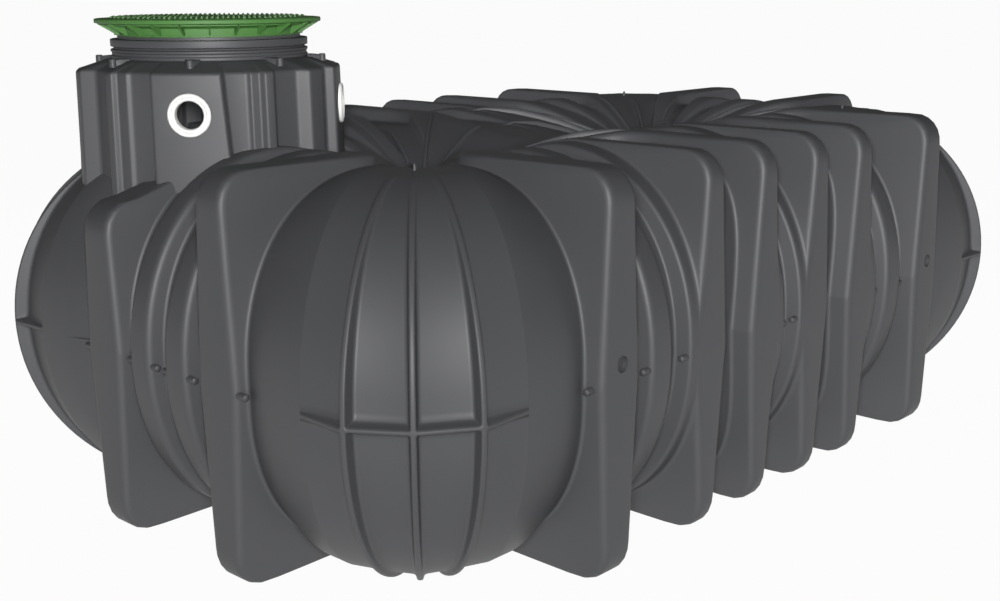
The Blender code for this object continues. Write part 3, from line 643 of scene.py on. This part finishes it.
def build_neck():
    """The ring on the shaft's shoulder, with a step and a groove."""
    low = SHAFT_TOP_Z + GAP
    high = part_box("neck_ring")[1].z
    mid = (low + high) / 2
    pts = [(SHAFT_BORE, low), (NECK_R, low), (NECK_R, low + 0.010), (NECK_R - 0.004, low + 0.013),
           (NECK_R - 0.004, mid - 0.012), (NECK_R, mid - 0.009), (NECK_R, mid - 0.002),
           (NECK_R - 0.010, mid + 0.001), (NECK_R - 0.010, mid + 0.005), (NECK_R, mid + 0.008),
           (NECK_R, high - 0.001), (NECK_R - 0.012, high), (SHAFT_BORE + 0.004, high),
           (SHAFT_BORE, high - 0.004)]
    bm = bmesh.new()
    lathe(bm, soft_line(pts, 0.0022, 3, True), 144)
    make_piece("neck", bm, TANK, ("neck_ring",), 50.0)


def build_lugs():
    """Lugs round the foot of the neck: a level wedge that narrows outwards, with a round knob on its end."""
    top = SHAFT_TOP_Z + LUG_HIGH
    hub = Vector((*SHAFT_C, 0.0))
    for i, (way, side) in enumerate(spokes(LUGS)):
        bm = bmesh.new()
        outer = (PANEL_DIST if i % 2 else LOW) * BROW_SCALE
        loops = []
        for r, wide, drop in ((LUG_IN + 0.0005, 0.0278, 0.0), (0.346, 0.0245, 0.0004),
                              (0.357, 0.0205, 0.0010), (0.367, 0.0165, 0.0018), (0.376, 0.0120, 0.0030)):
            share = max((r - SHOULDER_R) / (outer - SHOULDER_R), 0.0)
            low = SHAFT_TOP_Z + (BROW_Z - SHAFT_TOP_Z) * share - 0.0012
            high = top - 0.0006 - drop
            ridge = [(-wide, low), (-wide * 0.86, high), (wide * 0.86, high), (wide, low)]
            ridge = soft_line(ridge, 0.003, 3)
            loops.append([bm.verts.new(hub + way * r + side * x + Vector((0, 0, z))) for x, z in ridge])
        grid_faces(bm, loops, False, True)
        bm.faces.new(loops[0][::-1])
        bm.faces.new(loops[-1])
        knob = []
        for r, z in ((KNOB_R, KNOB_FOOT_Z), (KNOB_R, top - 0.004), (0.0108, top - 0.0015),
                     (0.0085, top - 0.0001)):
            knob.append([bm.verts.new(hub + way * (KNOB_OUT + r * math.cos(t)) + side * (r * math.sin(t))
                                      + Vector((0, 0, z)))
                         for t in np.linspace(0, 2 * math.pi, 20, endpoint=False)])
        grid_faces(bm, knob, False, True)
        bm.faces.new(knob[0][::-1])
        bm.faces.new(knob[-1])
        make_piece("lug_%d" % (i + 1), bm, TANK, ("neck_lug_%d" % (i + 1),), 40.0)


# Cover ---------------------------------------------------------------------------------------

def wedge(bm, corners, thick, side):
    """A flat plate from an outline of points, with a thickness along side."""
    rims = [[bm.verts.new(Vector(p) + side * s * thick / 2) for p in corners] for s in (-1, 1)]
    count = len(corners)
    for i in range(count):
        j = (i + 1) % count
        bm.faces.new([rims[0][i], rims[0][j], rims[1][j], rims[1][i]])
    bm.faces.new(rims[0][::-1])
    bm.faces.new(rims[1])


def build_frame():
    """The cover's frame, an upturned cone with gussets under its rim, and a dark band at its foot that is
    painted shade.
    """
    low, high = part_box("cover_frame")
    foot, rim = low.z, high.z
    under = rim - RIM_THICK
    pts = [(0.282, foot), (0.3060, foot), (0.3060, foot + 0.036), (0.3180, foot + 0.0425),
           (COVER_R - 0.030, under - 0.0025), (COVER_R - 0.002, under), (COVER_R, under + 0.002),
           (COVER_R, rim - 0.003), (COVER_R - 0.003, rim), (LID_R + 0.001, rim),
           (LID_R + 0.001, rim - 0.010), (LID_R - 0.012, rim - 0.018), (0.300, foot + 0.040),
           (0.288, foot + 0.010)]
    bm = bmesh.new()
    lathe(bm, soft_line(pts, 0.0012, 2, True), 160)
    hub = Vector((*SHAFT_C, 0.0))
    gusset = ((0.3045, foot + 0.012), (0.3150, foot + 0.012), (0.3190, foot + 0.017),
              (COVER_R - 0.010, under - 0.0045), (COVER_R - 0.008, under - 0.0005), (0.3180, under - 0.0005))
    for way, side in spokes(GUSSETS, GUSSET_START):
        wedge(bm, [hub + way * r + Vector((0, 0, z)) for r, z in gusset], GUSSET_THICK, side)
    shelf = foot + 0.0125
    lathe(bm, [(0.300, shelf), (0.3165, shelf), (0.3165, shelf + 0.0026), (0.300, shelf + 0.0026)], 120)
    make_piece("cover_rim", bm, COVER, ("cover_frame",), 40.0)
    # Painted shade: a thin ring in the dark tank plastic at the foot of the frame, standing for the shadow
    # in the gap under the cone
    bm = bmesh.new()
    lathe(bm, [(0.3050, foot), (0.3080, foot), (0.3080, foot + 0.0085), (0.3050, foot + 0.0095)], 120)
    make_piece("cover_foot_painted_shade", bm, TANK, (), 40.0)


def build_lid():
    """The domed lid, with rows of short raised bars that give the foot grip."""
    low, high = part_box("cover_lid")
    top = high.z - 0.0042
    edge = ((LID_R, top - 0.0065), (LID_R - 0.020, top - 0.0030), (LID_R - 0.10, top - 0.0008), (0.0, top))
    pts = [(0.0, low.z), (LID_R - 0.004, low.z), (LID_R - 0.004, top - 0.012), *edge]
    bm = bmesh.new()
    profile = soft_line(pts, [0, 0.002, 0, 0.002, 0.010, 0.03, 0], 3)
    steps = 128
    bottom_pole = bm.verts.new((*SHAFT_C, profile[0][1]))
    top_pole = bm.verts.new((*SHAFT_C, profile[-1][1]))
    loops = lathe(bm, profile[1:-1], steps, False)
    for i in range(steps):
        j = (i + 1) % steps
        bm.faces.new([bottom_pole, loops[j][0], loops[i][0]])
        bm.faces.new([top_pole, loops[i][-1], loops[j][-1]])
    turn = math.radians(BAR_TURN)
    c, s = math.cos(turn), math.sin(turn)
    ends_r, ends_z = [r for r, _ in edge[::-1]], [z for _, z in edge[::-1]]
    for i in range(-20, 21):
        for j in range(-10, 11):
            y, x = i * BAR_ACROSS, (j + (0.5 if i % 2 else 0.0)) * BAR_ALONG
            r = math.hypot(x, y)
            if r > LID_R - BAR_EDGE:
                continue
            z = float(np.interp(r, ends_r, ends_z))
            rims = []
            for long, wide, up in ((0.0150, 0.0042, -0.002), (0.0140, 0.0024, 0.0041)):
                ends = [(x + a * long, y + b * wide) for a, b in ((-1, -1), (1, -1), (1, 1), (-1, 1))]
                ends = [(SHAFT_C[0] + px * c - py * s, SHAFT_C[1] + px * s + py * c) for px, py in ends]
                rims.append([bm.verts.new((*end, z + up)) for end in ends])
            for k in range(4):
                m = (k + 1) % 4
                bm.faces.new([rims[0][k], rims[0][m], rims[1][m], rims[1][k]])
            bm.faces.new(rims[1])
            bm.faces.new(rims[0][::-1])
    make_piece("cover_top", bm, COVER, ("cover_lid",), 40.0)


# Small moulded details -----------------------------------------------------------------------

def peg(bm, start, end):
    """A level rounded peg between two plan points, with a domed far end."""
    start, end = Vector((*start, PEG_Z)), Vector((*end, PEG_Z))
    length = (end - start).length
    axis = (end - start).normalized()
    side = axis.cross(Vector((0, 0, 1))).normalized()
    up = side.cross(axis)
    dome = PEG_R * 0.55
    rows = [(0.0, PEG_R), (length - dome, PEG_R)]
    rows += [(length - dome + dome * math.sin(t), PEG_R * math.cos(t)) for t in np.linspace(0.3, 1.35, 5)]
    loops = []
    for x, r in rows:
        loops.append([bm.verts.new(start + axis * x + (side * math.cos(a) + up * math.sin(a)) * r)
                      for a in np.linspace(0, 2 * math.pi, 20, endpoint=False)])
    grid_faces(bm, loops, False, True)
    bm.faces.new(loops[0][::-1])
    bm.faces.new(loops[-1])


def build_pegs():
    """Rounded stubs that stand in each groove at half height."""
    bm = bmesh.new()
    reach_v, reach_u = WIDTH / 2 - PEG_IN, LENGTH / 2 - PEG_IN
    for sv in (-1, 1):
        for su in (-1, 1):
            for u0, u1 in SIDE_PEGS:
                peg(bm, (su * u0, sv * reach_v), (su * u1, sv * reach_v))
            for v0, v1 in END_PEGS:
                peg(bm, (su * reach_u, sv * v0), (su * reach_u, sv * v1))
    make_piece("groove_pegs", bm, TANK, (), 50.0)


def build_pins(body):
    """A small upright pin behind the lip of each open rounded corner."""
    bpy.context.view_layer.update()
    tree = BVHTree.FromObject(body, bpy.context.evaluated_depsgraph_get())
    bm = bmesh.new()
    for su, sv in ((-1, -1), (1, -1), (1, 1)):
        place = Vector((su * PIN_U, sv * PIN_V, 2.0))
        hit = tree.ray_cast(place, Vector((0, 0, -1)))[0]
        loops = []
        for r, z in ((0.007, -0.010), (0.006, 0.006), (0.0045, 0.016), (0.0025, 0.021)):
            z = min(hit.z + z, HEIGHT - 0.001)
            loops.append([bm.verts.new((place.x + r * math.cos(t), place.y + r * math.sin(t), z))
                          for t in np.linspace(0, 2 * math.pi, 16, endpoint=False)])
        grid_faces(bm, loops, False, True)
        bm.faces.new(loops[0][::-1])
        bm.faces.new(loops[-1])
    make_piece("corner_pins", bm, TANK, (), 50.0)


def cut_recesses(body):
    """A shallow round recess in the outer face of each plate next to a corner."""
    bm = bmesh.new()
    for su in (-1, 1):
        for sv in (-1, 1):
            place = (su * SIDE_PLATES[2], sv * (WIDTH / 2 + PLATE_OUT), RECESS_Z)
            add_rod(bm, place, (0, 1, 0), RECESS_R, RECESS_CUT, 40)
    cut_away(body, bm)


def build_bowl_ribs(body):
    """Three thin ribs that fan out from each column on every diagonal of its bowl."""
    bpy.context.view_layer.update()
    tree = BVHTree.FromObject(body, bpy.context.evaluated_depsgraph_get())
    bm = bmesh.new()
    for su in (-1, 1):
        for sx in (-1, 1):
            for sy in (-1, 1):
                for deg in BOWL_ANGLES:
                    a = math.radians(deg)
                    way = Vector((sx * math.cos(a), sy * math.sin(a), 0.0))
                    side = Vector((-way.y, way.x, 0.0))
                    room = CREST_IN if sx == su else COLUMN_U
                    reach = min(CREST_IN / math.sin(a), room / math.cos(a)) - BOWL_END
                    high = 0.024 if deg == BOWL_MIDDLE else 0.018
                    loops = []
                    for i in range(33):
                        t = i / 32
                        out = BOWL_START + (reach - BOWL_START) * t
                        p = Vector((su * COLUMN_U, 0, 2.0)) + way * out
                        hit = tree.ray_cast(p, Vector((0, 0, -1)))[0]
                        if hit is None:
                            continue
                        tall = high * min(1.0, t * 5, (1 - t) * 3.0) - 0.001
                        prof = ((-0.010, -0.012), (-0.0075, tall * 0.35), (-0.0050, tall * 0.9), (0.0, tall),
                                (0.0050, tall * 0.9), (0.0075, tall * 0.35), (0.010, -0.012))
                        loops.append([bm.verts.new(hit + side * x + Vector((0, 0, z))) for x, z in prof])
                    grid_faces(bm, loops, False, True)
                    bm.faces.new(loops[0][::-1])
                    bm.faces.new(loops[-1])
    make_piece("bowl_ribs", bm, TANK, (), 60.0)


body = build_body()
build_shaft()
build_seals()
build_neck()
build_lugs()
build_frame()
build_lid()
build_pegs()
build_bowl_ribs(body)
build_pins(body)
cut_recesses(body)


# Floor, light and camera ---------------------------------------------------------------------

def build_floor():
    """A white floor and backdrop that still takes the tank's shadow."""
    bm = bmesh.new()
    bmesh.ops.create_grid(bm, x_segments=1, y_segments=1, size=FLOOR_HALF)
    mesh = bpy.data.meshes.new("floor")
    bm.to_mesh(mesh)
    bm.free()
    floor = bpy.data.objects.new("floor", mesh)
    mat = bpy.data.materials.new("pale floor")
    mat.use_nodes = True
    nodes, links = mat.node_tree.nodes, mat.node_tree.links
    shader = nodes["Principled BSDF"]
    shader.inputs["Base Color"].default_value = (FLOOR_GREY, FLOOR_GREY, FLOOR_GREY, 1.0)
    shader.inputs["Roughness"].default_value = 0.9
    white = nodes.new("ShaderNodeEmission")
    white.inputs["Strength"].default_value = 1.0
    path = nodes.new("ShaderNodeLightPath")
    share = None
    for name, weight in FLOOR_WHITE:
        part = nodes.new("ShaderNodeMath")
        part.operation = "MULTIPLY_ADD"
        part.inputs[1].default_value, part.inputs[2].default_value = weight, 0.0
        links.new(path.outputs[name], part.inputs[0])
        if share:
            links.new(share.outputs[0], part.inputs[2])
        share = part
    mix = nodes.new("ShaderNodeMixShader")
    links.new(share.outputs[0], mix.inputs[0])
    links.new(shader.outputs[0], mix.inputs[1])
    links.new(white.outputs[0], mix.inputs[2])
    links.new(mix.outputs[0], nodes["Material Output"].inputs["Surface"])
    mesh.materials.append(mat)
    bpy.context.scene.collection.objects.link(floor)
    floor.location.z = -0.001


def build_world():
    """White to the camera; it lights the tank with a pale horizon and a darker ceiling."""
    world = bpy.data.worlds.new("studio")
    world.use_nodes = True
    nodes, links = world.node_tree.nodes, world.node_tree.links
    where = nodes.new("ShaderNodeTexCoord")
    parts = nodes.new("ShaderNodeSeparateXYZ")
    links.new(where.outputs["Generated"], parts.inputs[0])
    level = nodes.new("ShaderNodeMapRange")
    level.interpolation_type = "SMOOTHSTEP"
    level.inputs["From Min"].default_value = 0.02
    level.inputs["From Max"].default_value = 0.30
    level.inputs["To Min"].default_value = HORIZON_LEVEL
    level.inputs["To Max"].default_value = CEILING_LEVEL
    links.new(parts.outputs["Z"], level.inputs["Value"])
    path = nodes.new("ShaderNodeLightPath")
    share = level.outputs["Result"]
    for name in ("Is Camera Ray", "Is Transmission Ray"):
        part = nodes.new("ShaderNodeMath")
        part.operation = "MAXIMUM"
        links.new(share, part.inputs[0])
        links.new(path.outputs[name], part.inputs[1])
        share = part.outputs[0]
    links.new(share, nodes["Background"].inputs["Strength"])
    nodes["Background"].inputs["Color"].default_value = (1.0, 1.0, 1.0, 1.0)
    bpy.context.scene.world = world


def area_light(name, place, target, size, level, gloss):
    """A soft lamp that lights near and far parts alike."""
    data = bpy.data.lights.new(name, "AREA")
    data.shape, data.size, data.energy = "DISK", size, level
    data.use_nodes = True
    nodes, links = data.node_tree.nodes, data.node_tree.links
    even = nodes.new("ShaderNodeLightFalloff")
    even.inputs["Strength"].default_value = 1.0
    links.new(even.outputs["Constant"], nodes["Emission"].inputs["Strength"])
    lamp = bpy.data.objects.new(name, data)
    bpy.context.scene.collection.objects.link(lamp)
    lamp.location = place
    lamp.rotation_mode = "QUATERNION"
    lamp.rotation_quaternion = (Vector(target) - Vector(place)).to_track_quat("-Z", "Y")
    lamp.visible_glossy = gloss
    lamp.visible_camera = False


def build_camera():
    """The photograph's own view."""
    data = bpy.data.cameras.new("camera")
    data.lens, data.sensor_width, data.sensor_fit = LENS, SENSOR, "HORIZONTAL"
    cam = bpy.data.objects.new("camera", data)
    bpy.context.scene.collection.objects.link(cam)
    heading, tilt, roll = math.radians(HEADING), math.radians(TILT), math.radians(ROLL)
    ahead = Vector((math.cos(heading) * math.cos(tilt), math.sin(heading) * math.cos(tilt), -math.sin(tilt)))
    right = Vector((math.sin(heading), -math.cos(heading), 0.0))
    up = right.cross(ahead)
    right = (right * math.cos(roll) - up * math.sin(roll)).normalized()
    up = right.cross(ahead)
    matrix = Matrix((right, up, -ahead)).transposed().to_4x4()
    matrix.translation = Vector(CAMERA_PLACE)
    cam.matrix_world = matrix
    bpy.context.scene.camera = cam


build_floor()
build_world()
for lamp in LAMPS:
    area_light(*lamp)
bpy.context.scene.view_settings.view_transform = "Standard"
build_camera()
